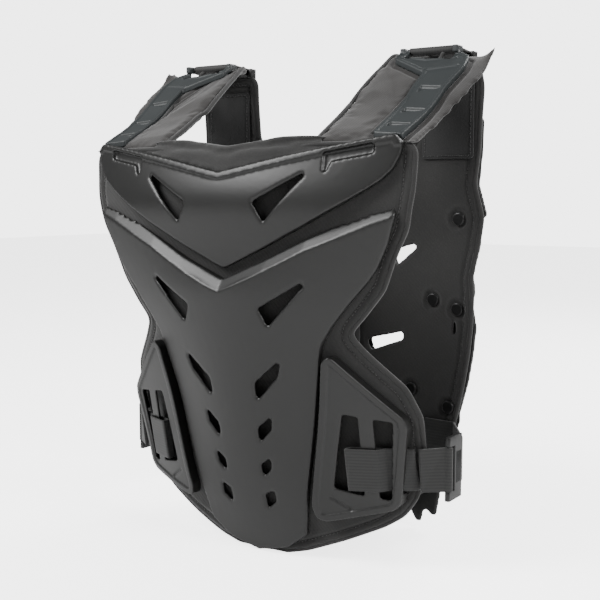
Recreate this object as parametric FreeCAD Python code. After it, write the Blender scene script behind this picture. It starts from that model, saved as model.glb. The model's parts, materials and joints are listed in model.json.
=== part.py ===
import FreeCAD, Part
import math
import os

# Chest protector: a front and a back armour panel joined over the shoulders and by two side straps.
# Millimetres. +Z is up, the front faces -Y, and the wearer's left side is +X.
# The model is laid out in a layout frame whose origin is the middle of the front hem. At the end
# every solid is moved so that the origin is the middle of the footprint, on the floor.

V = FreeCAD.Vector

# ---- driving dimensions: overall ----
CHEST_WIDTH = 364.0  # across the front liner at the armpits
FRONT_HEIGHT = 400.0  # hem to neck line of the front
INNER_DEPTH = 138.0  # front hem line to the inner face of the back liner
BACK_BULGE = 22.0  # how far the middle of the back stands out behind its edges

# ---- driving dimensions: walls ----
LINER = 5.0  # padded fabric panels
FOAM = 8.0  # inner foam pads
SHELL = 3.2  # moulded plates
RIM_WIDTH = 6.0  # raised rolled edge of a plate
RIM_HEIGHT = 1.8
PAD = 12.0  # shoulder pads at their middle, measured upright
PAD_EDGE_THICKNESS = 5.0  # the same along the neck and the arm
PAD_ARM_FLARE = 12.0  # how far the rear arm corner of a pad turns up
PAD_NECK_FLARE = 7.0  # the same at the rear neck corner
RECESS_DEPTH = 3.4  # the L-shaped recesses of the upper plate
VENT_BEVEL = 2.2  # the sunk margin round each vent of the chest plates
INSERT = 5.0  # moulded shoulder inserts, measured upright
EDGE_LIFT = 6.0  # how far the outer face of a chest plate stands off the liner at its edge
SIDE_LIFT = 12.0  # the same for a side plate, which has the strap behind it

# ---- driving dimensions: webbing, buckles, fasteners ----
WEBBING = 1.8
SIDE_STRAP_WIDTH = 42.0
SIDE_STRAP_HEIGHT = 101.0  # middle of the side straps above the hem
STRAP_SLOT_MARGIN = 2.0
SHOULDER_LINK_WIDTH = 48.0
LINK_MIDDLE = 134.0  # distance of a shoulder link's middle from the centre line
LINK_BAR_RADIUS = 2.5
BUCKLE_BAR_RADIUS = 2.0
BUCKLE_THICKNESS = 5.0
BUCKLE_LENGTH = 28.0
BUCKLE_BORDER = 9.0
CATCH_RADIUS = 2.2  # the bar of a side tab, caught behind the buckle's lip
RIVET_SHANK_RADIUS = 2.5
RIVET_HEAD_RADIUS = 6.5
RIVET_HEAD = 2.0
WASHER_RADIUS = 5.0
WASHER = 1.6
PATCH = 1.2  # hook-and-loop patches

# ---- corner radii, seen square on ----
PANEL_CORNER = 9.0  # fabric panels
FOAM_CORNER = 14.0
PLATE_CORNER = 6.0  # chest plates
SHELL_CORNER = 4.0  # back shells
SMALL_CORNER = 3.0  # windows, pads and inserts
VENT_CORNER = 1.4

# ---- clearances ----
GAP = 0.3  # between neighbouring pieces
BAR_GAP = 0.3  # webbing loop round a bar
RIVET_GAP = 0.1

# ---- places of the hinge lines, in the layout frame ----
LINK_FRONT_Y = INNER_DEPTH - 32.0
LINK_FRONT_Z = 1.231 * FRONT_HEIGHT
LINK_BACK_Y = INNER_DEPTH + LINER / 2.0
LINK_BACK_Z = 1.225 * FRONT_HEIGHT
BUCKLE_X = CHEST_WIDTH / 2.0 + 5.0  # just outside the armpit
BUCKLE_Y = 0.29 * INNER_DEPTH
STRAP_SWING_X = 165.5 * CHEST_WIDTH / 364.0  # the outer edge of the side plates

REACH = 300.0  # long enough to pass right through the object


def wide(x):
    """A sideways place that keeps its share of the chest width."""
    return x * CHEST_WIDTH / 364.0


def tall(z):
    """A height that keeps its share of the front height."""
    return z * FRONT_HEIGHT / 400.0


def deep(y):
    """A place between front and back that keeps its share of the depth."""
    return y * INNER_DEPTH / 138.0


# ---------------------------------------------------------------- forms


def smooth(stations, at):
    """The value at a place on a smooth curve through (place, value) stations, straight beyond them.

    The curve never overshoots: it is level at each highest and lowest station."""
    places = [s[0] for s in stations]
    values = [s[1] for s in stations]
    last = len(stations) - 1
    rates = []
    for i in range(last):
        rates.append((values[i + 1] - values[i]) / (places[i + 1] - places[i]))
    slopes = [rates[0]]
    for before, after in zip(rates, rates[1:]):
        level = before * after <= 0
        slopes.append(0.0 if level else 2 * before * after / (before + after))
    slopes.append(rates[-1])
    if at <= places[0]:
        return values[0] + slopes[0] * (at - places[0])
    if at >= places[last]:
        return values[last] + slopes[last] * (at - places[last])
    i = 0
    while at > places[i + 1]:
        i += 1
    span = places[i + 1] - places[i]
    t = (at - places[i]) / span
    value = values[i] * (1 + 2 * t) * (1 - t) ** 2
    value += values[i + 1] * t * t * (3 - 2 * t)
    value += slopes[i] * span * t * (1 - t) ** 2
    value -= slopes[i + 1] * span * t * t * (1 - t)
    return value


# Heights are shares of the front height; depths are millimetres forward (-) or back (+) of the hem.
LINER_CENTRE = [(0, 6), (0.075, -2), (0.19, -15), (0.375, -25), (0.52, -39),
                (0.615, -47), (0.775, -52), (0.865, -54), (0.93, -50), (1.0, -46)]
LINER_SWEEP = [(0, 60), (0.19, 60), (0.375, 51), (0.52, 49), (0.615, 43),
               (0.775, 31), (0.865, 26), (1.0, 20)]
LOWER_CREST = [(0, 0), (0.15, -19), (0.3, -34), (0.45, -47), (0.59, -60), (0.665, -66), (0.75, -68)]
LOWER_HALF_WIDTH = [(0, 50), (0.25, 64), (0.4, 74), (0.54, 91), (0.71, 130), (0.87, 168)]
UPPER_CREST = [(0.7, -55), (0.75, -58), (0.825, -65), (0.875, -68), (0.94, -61), (1.01, -52)]
# Height of the shoulder above the hem over its distance back from the hem, at the neck side.
SHOULDER_RISE = [(-45, 404), (-28, 413), (-14, 420), (4, 429), (28, 444), (45, 458),
                 (60, 469), (80, 483), (99, 494), (112, 498), (126, 497)]
BULGE_SHARE = [(-0.1, 0.5), (0, 0.5), (0.25, 0.55), (0.6, 1.0), (0.72, 0.95), (0.91, 0.0), (1.3, 0.0)]
SHOULDER_FALL = 0.08  # the shoulder drops by this share towards the arm
LINER_TOP = 398.0  # the top of the front liner beside the neck, as a height at full size
NECK_CORNER = 88.0  # where the neck line meets the shoulder pads


def liner_front(x, z):
    share = z / FRONT_HEIGHT
    half = CHEST_WIDTH / 2.0
    return deep(smooth(LINER_CENTRE, share)) + smooth(LINER_SWEEP, share) * (x / half) ** 2


def crested(crest, half_width, x, z):
    """The outer face of a chest plate: EDGE_LIFT off the liner at its edge, proud in the middle."""
    share = z / FRONT_HEIGHT
    proud = deep(smooth(LINER_CENTRE, share) - smooth(crest, share)) - EDGE_LIFT
    fade = max(0.0, 1 - (x / (1.35 * half_width)) ** 2) ** 2
    return liner_front(x, z) - EDGE_LIFT - proud * fade


def lower_front(x, z):
    return crested(LOWER_CREST, wide(smooth(LOWER_HALF_WIDTH, z / FRONT_HEIGHT)), x, z)


def upper_front(x, z):
    return crested(UPPER_CREST, wide(172.0), x, z)


def side_front(x, z):
    return liner_front(x, z) - SIDE_LIFT


def back_inner(x, z):
    """Inner face of the back liner: flat at the shoulders, standing out over the shoulder blades."""
    share = smooth(BULGE_SHARE, z / FRONT_HEIGHT)
    return INNER_DEPTH + BACK_BULGE * share * (1 - (x / wide(176.0)) ** 2)


def shoulder_top(x, y):
    rise = smooth(SHOULDER_RISE, y * 138.0 / INNER_DEPTH)
    return tall(rise) - SHOULDER_FALL * (abs(x) - wide(87.0))


def ramp(at, start, end):
    """0 before the start, 1 after the end, and a straight line between them."""
    return min(1.0, max(0.0, (at - start) / (end - start)))


def pad_top(x, y):
    """The upper face of a shoulder pad, turned up at its two rear corners."""
    rearward = ramp(y, deep(84.0), deep(104.0)) ** 2
    arm = PAD_ARM_FLARE * ramp(abs(x), wide(182.0), wide(198.0)) ** 2
    neck = PAD_NECK_FLARE * ramp(-abs(x), wide(-102.0), wide(-90.0)) ** 2
    return shoulder_top(x, y) - INSERT - GAP + rearward * (arm + neck)


def pad_under(x, y):
    """The lower face of a shoulder pad, which thins out towards the neck and the arm."""
    share = max(ramp(abs(x), wide(150.0), wide(190.0)), ramp(-abs(x), wide(-118.0), wide(-90.0)))
    share = share * share * (3 - 2 * share)
    return pad_top(x, y) - PAD - (PAD_EDGE_THICKNESS - PAD) * share


def neck_front(x, z):
    """The face of the neck binding: from the top of the plate it slopes back to the neck line."""
    aside = abs(x) / wide(NECK_CORNER)
    rise = (z - tall(375.0 + 17.0 * aside)) / tall(23.0)
    return liner_front(x, z) - 12.0 + 3.0 * aside + (5.0 + 13.0 * aside) * rise


def neck_back(x, z):
    aside = abs(x) / wide(NECK_CORNER)
    rise = (z - tall(375.0 + 17.0 * aside)) / tall(23.0)
    return liner_front(x, z) + LINER + 2.0 + 8.0 * aside * rise


def moved(form, amount):
    """The same form, shifted by an amount along its own direction."""
    return lambda u, v: form(u, v) + amount


# ---------------------------------------------------------------- building blocks


DIRECTIONS = {"y": V(0, 1, 0), "z": V(0, 0, 1)}
STRAIGHT = math.radians(178.5)  # a turn flatter than this is left unrounded
CLOSE = 1e-4  # points nearer than this are one point


def spot(u, v, height, up):
    """A point from a place in the outline plane and a height along the given direction."""
    if up == "y":
        return V(u, height, v)
    return V(u, v, height)


def corner_arc(before, corner, after, radius):
    """Start, middle and end of the arc that rounds a corner, or the point itself on a straight run."""
    one = before - corner
    two = after - corner
    angle = one.getAngle(two)
    if angle > STRAIGHT:
        return corner, corner, corner
    reach = radius / math.tan(angle / 2.0)
    reach = min(reach, 0.45 * one.Length, 0.45 * two.Length)
    one.normalize()
    two.normalize()
    start = corner + one * reach
    end = corner + two * reach
    bisector = one + two
    bisector.normalize()
    actual = reach * math.tan(angle / 2.0)
    middle = corner + bisector * (actual / math.sin(angle / 2.0) - actual)
    return start, middle, end


def outline(points, radius, up="y"):
    """A closed flat wire through the points, with every corner rounded."""
    corners = [spot(u, v, 0.0, up) for u, v in points]
    count = len(corners)
    arcs = []
    for i in range(count):
        arcs.append(corner_arc(corners[i - 1], corners[i], corners[(i + 1) % count], radius))
    edges = []
    for i in range(count):
        start, middle, end = arcs[i]
        if start.distanceToPoint(end) > CLOSE:
            edges.append(Part.Arc(start, middle, end).toShape())
        following = arcs[(i + 1) % count][0]
        if end.distanceToPoint(following) > CLOSE:
            edges.append(Part.LineSegment(end, following).toShape())
    return Part.Wire(edges)


def both_sides(half):
    """A full outline from its +X half, listed from the centre line round to the centre line."""
    other = [(-u, v) for u, v in reversed(half) if abs(u) > CLOSE]
    return half + other


def prism(wire, up="y"):
    """The outline pushed right through the object."""
    start = wire.copy()
    start.translate(DIRECTIONS[up] * -REACH)
    return Part.Face(start).extrude(DIRECTIONS[up] * 3 * REACH)


# Every form is sampled over the same field, so shifted copies of a form stay exactly parallel.
FIELD_STEPS = 26
FIELD_Y = (-CHEST_WIDTH / 2 - 16.0, CHEST_WIDTH / 2 + 16.0, -14.0, LINK_BACK_Z + 14.0)
FIELD_Z = (wide(70.0), wide(222.0), deep(-72.0), deep(140.0))


def beyond(form, up):
    """Everything past a form, over the whole field of the outline plane."""
    u_low, u_high, v_low, v_high = FIELD_Y if up == "y" else FIELD_Z
    rows = []
    for i in range(FIELD_STEPS + 1):
        u = u_low + (u_high - u_low) * i / FIELD_STEPS
        row = []
        for k in range(FIELD_STEPS + 1):
            v = v_low + (v_high - v_low) * k / FIELD_STEPS
            row.append(spot(u, v, form(u, v), up))
        rows.append(row)
    surface = Part.BSplineSurface()
    surface.interpolate(rows)
    return surface.toShape().extrude(DIRECTIONS[up] * 3 * REACH)


def skin(shape, near, far, up="y"):
    """The part of a prism between two forms, near one first along the direction."""
    return shape.common(beyond(near, up)).cut(beyond(far, up))


def ring(wire, width, up="y"):
    """A prism of the band just inside an outline."""
    inner = wire.makeOffset2D(-width)
    return prism(wire, up).cut(prism(inner, up))


def moulded_plate(wire, front, under):
    """A moulded shell: a cap and a skirt down to what it sits on."""
    cap = skin(prism(wire), front, moved(front, SHELL))
    skirt = skin(ring(wire, SHELL), moved(front, SHELL / 2), moved(under, -GAP))
    return cap.fuse(skirt)


def raised_rim(wire, front):
    """The rolled edge that stands proud of a plate, just inside its outline."""
    return skin(ring(wire, RIM_WIDTH), moved(front, -RIM_HEIGHT), moved(front, SHELL / 2))


def opening(points, radius):
    return prism(outline(points, radius))


def ribbon(points, thickness, low, high, along="z", lean=0.0):
    """A flat band of webbing that follows a path, drawn as its edge-on section and extruded."""
    path = [V(a, b, 0) for a, b in points]
    left = []
    right = []
    for i, point in enumerate(path):
        before = point - path[i - 1] if i > 0 else path[1] - path[0]
        after = path[i + 1] - point if i < len(path) - 1 else before
        before.normalize()
        after.normalize()
        bend = before + after
        bend.normalize()
        side = V(-bend.y, bend.x, 0)
        stretch = thickness / 2 / max(0.5, bend.dot(before))
        left.append(point + side * stretch)
        right.append(point - side * stretch)
    loop = left + right[::-1]
    if along == "z":
        corners = [V(p.x, p.y, low) for p in loop]
        direction = V(0, lean, high - low)
    else:
        corners = [V(low, p.x, p.y) for p in loop]
        direction = V(high - low, 0, 0)
    return Part.Face(Part.makePolygon(corners + corners[:1])).extrude(direction)


def mirrored(shape):
    return shape.mirror(V(0, 0, 0), V(1, 0, 0))


pieces = {}


def add(name, shape):
    pieces[name] = shape


def add_pair(name, left_shape):
    """A left piece and its mirror image on the right."""
    add(name + "_left", left_shape)
    add(name + "_right", mirrored(left_shape))


# ---------------------------------------------------------------- front panel


def scaled(points):
    return [(wide(x), tall(z)) for x, z in points]


FRONT_LINER_EDGE = [(0, 0), (20, 1), (51, 9), (91, 25), (128, 42), (146, 54), (158, 72), (167, 105),
                    (168, 150), (158, 178), (130, 209), (115, 229), (132, 248), (150, 271),
                    (163, 304), (174, 325), (180, 357), (182, LINER_TOP), (NECK_CORNER, LINER_TOP),
                    (0, 384)]
liner_wire = outline(both_sides(scaled(FRONT_LINER_EDGE)), PANEL_CORNER)
liner = skin(prism(liner_wire), liner_front, moved(liner_front, LINER))

FOAM_EDGE = [(0, 24), (60, 34), (118, 58), (142, 84), (150, 140), (136, 172), (104, 206), (98, 229),
             (114, 250), (138, 284), (156, 335), (164, 384), (95, 384), (0, 370)]
foam = skin(prism(outline(both_sides(scaled(FOAM_EDGE)), FOAM_CORNER)),
            moved(liner_front, LINER + GAP), moved(liner_front, LINER + GAP + FOAM))
add("front_foam_pad", foam)

# The neck binding is a soft roll that covers the top of the liner, from the top edge of the upper
# plate to the neck line, between the shoulder pads.
NECK_LINE = [(NECK_CORNER - 2, 413), (45, 405), (0, 399)]
BINDING_FRONT = [(0, 376.5), (63, 389.5), (NECK_CORNER - 2, 393.5)]
BINDING_TOP = [(0, 384.5), (NECK_CORNER - 2, LINER_TOP + 0.5)]
neck_ahead = skin(prism(outline(both_sides(scaled(BINDING_FRONT + NECK_LINE)), 2.0)),
                  neck_front, moved(liner_front, -GAP))
neck_above = skin(prism(outline(both_sides(scaled(BINDING_TOP + NECK_LINE)), 2.0)),
                  moved(liner_front, -2.0), neck_back)
neck_room = skin(prism(liner_wire.makeOffset2D(GAP)), moved(liner_front, -GAP), moved(liner_front, REACH))
add("neck_binding", neck_ahead.fuse(neck_above).cut(neck_room))

UPPER_EDGE = [(0, 375), (63, 388), (101, 395), (137, 401), (168, 406), (174, 398), (172, 388),
              (166, 376), (157, 367), (145, 359), (128, 349), (85, 326), (43, 305), (0, 286)]
UPPER_RECESS = [(104, 391), (150, 399), (150, 389.5), (112, 383), (109, 375), (105, 373)]
UPPER_VENT = [(93, 376), (39, 348), (49, 330)]
upper_wire = outline(both_sides(scaled(UPPER_EDGE)), PLATE_CORNER)
# The rim follows the top edge only and runs out round its two ends.
TOP_EDGE = [(-180, 408), (-137, 401), (-101, 395), (-63, 388), (0, 375), (63, 388), (101, 395),
            (137, 401), (180, 408)]
RIM_ABOVE = 8.0
RIM_BELOW = 10.0
rim_zone = [(x, z + RIM_ABOVE) for x, z in scaled(TOP_EDGE)]
rim_zone += [(x, z - RIM_BELOW) for x, z in reversed(scaled(TOP_EDGE))]
upper = moulded_plate(upper_wire, upper_front, liner_front)
upper = upper.fuse(raised_rim(upper_wire, upper_front).common(opening(rim_zone, 1.0)))
upper_room = skin(prism(upper_wire.makeOffset2D(2 * GAP)), moved(upper_front, -REACH / 2), liner_front)
RECESS_FLOOR = 1.8


def vented(plate, front, corners, radius):
    """The plate with a vent, and a sunk margin round it as wide as VENT_BEVEL."""
    wire = outline(corners, radius)
    margin = skin(prism(wire.makeOffset2D(VENT_BEVEL)), moved(front, -2 * RIM_HEIGHT),
                  moved(front, SHELL / 3))
    return plate.cut(prism(wire)).cut(margin)


for side in (1, -1):
    upper = vented(upper, upper_front, [(side * x, z) for x, z in scaled(UPPER_VENT)],
                   VENT_CORNER)
    recess_wire = outline([(side * x, z) for x, z in scaled(UPPER_RECESS)], 1.0)
    backing = skin(prism(recess_wire.makeOffset2D(SHELL)), moved(upper_front, SHELL / 2),
                   moved(upper_front, RECESS_DEPTH + RECESS_FLOOR))
    recess = skin(prism(recess_wire), moved(upper_front, -2 * RIM_HEIGHT),
                  moved(upper_front, RECESS_DEPTH))
    upper = upper.fuse(backing.common(prism(upper_wire))).cut(recess)
add("upper_chest_plate", upper)

LOWER_EDGE = [(0, 276), (48, 296), (87, 315), (123, 331), (146, 339), (165, 346), (169, 338),
              (160, 311), (149, 289), (140, 277), (124, 259), (104, 234), (94, 218), (83, 166),
              (74, 116), (57, 26), (34, 9), (0, 1)]
# Each vent: its top, inner, bottom and outer corners.
LOWER_VENTS = [
    [(92, 280), (41, 251), (48, 235)],
    [(55, 203), (27, 179), (26, 162), (49, 186)],
    [(38, 146), (24, 134), (23, 119), (36, 133)],
    [(32, 104), (22, 96), (22, 84), (31, 93)],
    [(31, 70), (21, 65), (21, 51), (31, 59)],
]
lower_wire = outline(both_sides(scaled(LOWER_EDGE)), PLATE_CORNER)
lower = moulded_plate(lower_wire, lower_front, liner_front)
BEVEL_WIDTH = 11.0  # the sloping band along the top of the lower plate
BEVEL_DROP = 7.5
BEVEL_OVERRUN = 4.0
BEVEL_LINE = [(-172, 348), (-146, 339), (-87, 315), (-48, 296), (0, 276), (48, 296), (87, 315),
              (146, 339), (172, 348)]
# The wall is thickened under the band, so the slope stays inside the material.
band = [(x, z + BEVEL_OVERRUN) for x, z in scaled(BEVEL_LINE)]
band += [(x, z - BEVEL_WIDTH - SHELL) for x, z in reversed(scaled(BEVEL_LINE))]
backing = prism(lower_wire).common(opening(band, 0.5))
lower = lower.fuse(skin(backing, moved(lower_front, SHELL / 2), moved(liner_front, -GAP)))
sections = []
for x, z in scaled(BEVEL_LINE):
    crest_y = lower_front(x, z - BEVEL_WIDTH)
    drop = BEVEL_DROP * (1 + BEVEL_OVERRUN / BEVEL_WIDTH)
    section = [V(x, crest_y, z - BEVEL_WIDTH),
               V(x, crest_y + drop, z + BEVEL_OVERRUN),
               V(x, crest_y - 4 * BEVEL_DROP, z + BEVEL_OVERRUN),
               V(x, crest_y - 4 * BEVEL_DROP, z - BEVEL_WIDTH)]
    sections.append(Part.makePolygon(section + section[:1]))
for first, second in zip(sections, sections[1:]):
    lower = lower.cut(Part.makeLoft([first, second], True, True))
for corners in LOWER_VENTS:
    for side in (1, -1):
        lower = vented(lower, lower_front, [(side * x, z) for x, z in scaled(corners)],
                       VENT_CORNER)
add("lower_chest_plate", lower)

# ---------------------------------------------------------------- side plates and straps

STRAP_LOW = tall(SIDE_STRAP_HEIGHT) - SIDE_STRAP_WIDTH / 2
STRAP_HIGH = tall(SIDE_STRAP_HEIGHT) + SIDE_STRAP_WIDTH / 2
SIDE_EDGE = [(103, 210), (95, 203), (72, 60), (75, 48), (84, 46), (144, 61), (151, 68), (162, 142),
             (160, 152)]
POST_X = wide(127.0)
POST_WIDTH = 13.0
WINDOW_INNER = wide(99.0)
WINDOW_OUTER = wide(146.0)
window = [(WINDOW_INNER + 8, STRAP_HIGH + 32), (WINDOW_OUTER + 4, STRAP_HIGH + 26),
          (WINDOW_OUTER - 3, STRAP_LOW - 9), (WINDOW_INNER - 5, STRAP_LOW + 1)]
side_wire = outline(scaled(SIDE_EDGE), PLATE_CORNER + 1.0)
side_plate = moulded_plate(side_wire, side_front, liner_front).fuse(raised_rim(side_wire, side_front))
window_cut = opening(window, SMALL_CORNER)
post_box = Part.makeBox(POST_WIDTH, 3 * REACH, FRONT_HEIGHT, V(POST_X - POST_WIDTH / 2, -REACH, 0))
side_plate = side_plate.cut(window_cut.cut(post_box))
strap_slot = Part.makeBox(wide(60.0), 3 * REACH, SIDE_STRAP_WIDTH + 2 * STRAP_SLOT_MARGIN,
                          V(wide(132.0), -REACH, STRAP_LOW - STRAP_SLOT_MARGIN))
slot_under = skin(strap_slot, moved(side_front, SHELL), moved(liner_front, 1.0))
side_plate = side_plate.cut(slot_under)
slit = opening([(wide(89), tall(74)), (wide(109), tall(61)), (wide(108), tall(58.5)),
                (wide(88), tall(71.5))], 0.8)
side_plate = side_plate.cut(skin(slit, moved(side_front, -2 * RIM_HEIGHT), moved(side_front, 1.5)))
add_pair("side_plate", side_plate)

# The fixed end of a side strap: webbing round the post, both layers passing behind the outer bar.
# The plate leans, so the webbing leans with it from its lower to its upper edge.
SWING_X = STRAP_SWING_X
SWING_Y = liner_front(SWING_X, STRAP_HIGH) - 2 * WEBBING - 1.0
middle_z = (STRAP_LOW + STRAP_HIGH) / 2
BEHIND = SHELL + WEBBING / 2 + 0.8  # middle of the outer layer, from the face of the plate
AHEAD = -WEBBING / 2 - 1.0  # middle of the layer in front of the post
LAYER = WEBBING + 0.5  # from layer to layer
LOOP_ROOM = 1.2  # beside the post, on the side of the buckle
LOOP_SLACK = 11.0  # beside the post, where the webbing turns back
lean_x = wide(140.0)
lean = side_front(lean_x, STRAP_HIGH) - side_front(lean_x, STRAP_LOW)


def strap_point(x, depth):
    return x, side_front(x, STRAP_LOW) + depth


post_left = POST_X - POST_WIDTH / 2 - WEBBING / 2 - LOOP_SLACK
post_right = POST_X + POST_WIDTH / 2 + WEBBING / 2 + LOOP_ROOM
loop_end = SWING_X - 2.0
loop_path = [strap_point(loop_end, BEHIND + LAYER), strap_point(wide(148.0), BEHIND + LAYER),
             strap_point(post_right, BEHIND + LAYER), strap_point(post_left + 1.0, BEHIND + LAYER),
             strap_point(post_left, BEHIND - 0.5), strap_point(post_left, AHEAD + 0.6),
             strap_point(post_left + 1.5, AHEAD), strap_point(post_right - 0.5, AHEAD),
             strap_point(post_right + 4.5, BEHIND), strap_point(wide(148.0), BEHIND),
             strap_point(loop_end, BEHIND)]
loop_band = ribbon(loop_path, WEBBING, STRAP_LOW, STRAP_HIGH, "z", lean)
add_pair("strap_loop", loop_band)

# The free part of a side strap swings about the plate's outer edge and carries the buckle.
bar_outer = BUCKLE_BAR_RADIUS + BAR_GAP + WEBBING
toward = V(SWING_X - BUCKLE_X, SWING_Y - BUCKLE_Y, 0)
toward.normalize()
eye_centre = V(BUCKLE_X, BUCKLE_Y, STRAP_LOW)
eye = Part.makeCylinder(bar_outer, SIDE_STRAP_WIDTH, eye_centre)
start = V(SWING_X, SWING_Y, 0) - toward * 2.0
finish = V(BUCKLE_X, BUCKLE_Y, 0) + toward * (BUCKLE_BAR_RADIUS + BAR_GAP + 0.5)
tail = ribbon([(start.x, start.y), (finish.x, finish.y)], 2 * WEBBING, STRAP_LOW, STRAP_HIGH)
strap = eye.fuse(tail).cut(Part.makeCylinder(BUCKLE_BAR_RADIUS + BAR_GAP, SIDE_STRAP_WIDTH, eye_centre))
add_pair("side_strap", strap)

# The buckle: a frame whose front bar sits in the strap's eye and whose lip covers the catch bar.
frame_height = SIDE_STRAP_WIDTH + 2 * BUCKLE_BORDER
frame_low = middle_z - frame_height / 2
frame_front = BUCKLE_Y - BUCKLE_BAR_RADIUS - 1.0
buckle = Part.makeBox(BUCKLE_THICKNESS, BUCKLE_LENGTH, frame_height,
                      V(BUCKLE_X - BUCKLE_THICKNESS / 2, frame_front, frame_low))
buckle = buckle.makeFillet(1.4, [e for e in buckle.Edges if abs(e.tangentAt(0).z) > 0.9])
cutout = Part.makeBox(4 * BUCKLE_THICKNESS, bar_outer * 2 + 6.0, SIDE_STRAP_WIDTH + 1.0,
                      V(BUCKLE_X - 2 * BUCKLE_THICKNESS, BUCKLE_Y - bar_outer - 1.0,
                        STRAP_LOW - 0.5))
buckle = buckle.cut(cutout)
bar = Part.makeCylinder(BUCKLE_BAR_RADIUS, SIDE_STRAP_WIDTH + 4.0,
                        V(BUCKLE_X, BUCKLE_Y, STRAP_LOW - 2.0))
buckle = buckle.fuse(bar)
LIP = 1.4  # the outboard lip over the catch bar
catch_y = frame_front + BUCKLE_LENGTH + CATCH_RADIUS - 4.0
catch_pocket = Part.makeBox(BUCKLE_THICKNESS, 12.0, SIDE_STRAP_WIDTH + 2.0,
                            V(BUCKLE_X - BUCKLE_THICKNESS / 2 - LIP, catch_y - CATCH_RADIUS - 0.8,
                              STRAP_LOW - 1.0))
buckle = buckle.cut(catch_pocket)
add_pair("buckle", buckle)

# ---------------------------------------------------------------- shoulders

PAD_REAR = 99.0  # behind this the pad is notched for the link
pad_inner_notch = LINK_MIDDLE - SHOULDER_LINK_WIDTH / 2 - 7.0
pad_outer_notch = LINK_MIDDLE + SHOULDER_LINK_WIDTH / 2 + 7.0
PAD_FRONT = -50.0
PAD_EDGE = [(NECK_CORNER, PAD_FRONT), (87, -14), (85.5, 30), (87.5, 60), (92, 99), (96, 119)]
PAD_ARM_EDGE = [(193, 117), (200, 104), (200, 75), (195, 48), (190, 29), (187, 11), (185, -5),
                (182, PAD_FRONT)]


def floor_plan(points):
    return [(wide(x), deep(y)) for x, y in points]


pad_points = floor_plan(PAD_EDGE)
pad_points += [(wide(pad_inner_notch) - 1.5, deep(118)), (wide(pad_inner_notch) - 1.5, deep(PAD_REAR)),
               (wide(pad_outer_notch) + 1.5, deep(PAD_REAR)), (wide(pad_outer_notch) + 1.5, deep(117))]
pad_points += floor_plan(PAD_ARM_EDGE)
pad_wire = outline(pad_points, SMALL_CORNER, "z")
pad = skin(prism(pad_wire, "z"), pad_under, pad_top, "z")
below = Part.makeBox(2 * REACH, 3 * REACH, 2 * REACH, V(0, -REACH, tall(LINER_TOP) + GAP - 2 * REACH))
pad = pad.cut(below).cut(upper_room)
# The front end of a pad stops at the same face as the chest liner below it.
PAD_START_Y = deep(-37.0)
ahead_of_liner = Part.makeBox(2 * REACH, REACH, 2 * REACH, V(0, PAD_START_Y - REACH, 0))
pad = pad.cut(ahead_of_liner)
add_pair("shoulder_pad", pad)

# The moulded insert: a stepped strip that opens into a head with a window, closed by a bar that
# the webbing link goes round.
INSERT_EDGE = [(143, -30), (142, -8), (143, 44), (144, 64), (104, 84), (103, 100), (167, 100),
               (178, 92), (181, 75), (176, 45), (174, 5), (172, -30)]
INSERT_WINDOW = [(112, 87), (112, 101), (160, 101), (163, 87)]
STEPS = [(-11, 148), (14.5, 149), (43.5, 150)]
insert_wire = outline(floor_plan(INSERT_EDGE), SMALL_CORNER, "z")
insert = skin(prism(insert_wire, "z"), moved(shoulder_top, -INSERT), shoulder_top, "z")
INSERT_RIB_WIDTH = 3.0
INSERT_RIB_HEIGHT = 1.2
rib = skin(ring(insert_wire, INSERT_RIB_WIDTH, "z"), moved(shoulder_top, -INSERT / 2),
           moved(shoulder_top, INSERT_RIB_HEIGHT), "z")
insert = insert.fuse(rib)
window_wire = outline(floor_plan(INSERT_WINDOW), 2.0, "z")
insert = insert.cut(prism(window_wire, "z"))
STEP_DEPTH = 3.2
for step_y, step_x in STEPS:
    notch = outline(floor_plan([(step_x, step_y - 4.5), (step_x + 21, step_y + 1.0),
                                (step_x + 21, step_y + 3.5), (step_x, step_y + 3.5)]), 0.8, "z")
    insert = insert.cut(skin(prism(notch, "z"), moved(shoulder_top, -STEP_DEPTH),
                             moved(shoulder_top, 2 * STEP_DEPTH), "z"))
link_low = LINK_MIDDLE - SHOULDER_LINK_WIDTH / 2
LINK_SIDE_ROOM = 1.0  # between the webbing link and the ears beside it
INSERT_EAR = 5.5
INSERT_EAR_HEIGHT = 7.0
EAR_START_Y = deep(95.0)
ear_depth = LINK_FRONT_Y + LINK_BAR_RADIUS - EAR_START_Y
for x in (wide(link_low) - LINK_SIDE_ROOM - INSERT_EAR,
          wide(link_low) + SHOULDER_LINK_WIDTH + LINK_SIDE_ROOM):
    ear = Part.makeBox(INSERT_EAR, ear_depth, INSERT_EAR_HEIGHT,
                       V(x, EAR_START_Y, LINK_FRONT_Z - INSERT_EAR_HEIGHT / 2))
    insert = insert.fuse(ear)
link_bar = Part.makeCylinder(LINK_BAR_RADIUS, SHOULDER_LINK_WIDTH + 4 * LINK_SIDE_ROOM,
                             V(wide(link_low) - 2 * LINK_SIDE_ROOM, LINK_FRONT_Y, LINK_FRONT_Z),
                             V(1, 0, 0))
insert = insert.fuse(link_bar)
add_pair("shoulder_insert", insert.cut(upper_room))


def belt(radius):
    """A solid round both link bars, with straight runs between them."""
    ends = [V(0, LINK_FRONT_Y, LINK_FRONT_Z), V(0, LINK_BACK_Y, LINK_BACK_Z)]
    run = ends[1] - ends[0]
    lift = V(0, -run.z, run.y)
    lift.normalize()
    corners = [ends[0] + lift * radius, ends[1] + lift * radius,
               ends[1] - lift * radius, ends[0] - lift * radius]
    body = Part.Face(Part.makePolygon(corners + corners[:1])).extrude(V(SHOULDER_LINK_WIDTH, 0, 0))
    for end in ends:
        body = body.fuse(Part.makeCylinder(radius, SHOULDER_LINK_WIDTH, end, V(1, 0, 0)))
    body.translate(V(wide(link_low), 0, 0))
    return body


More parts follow.
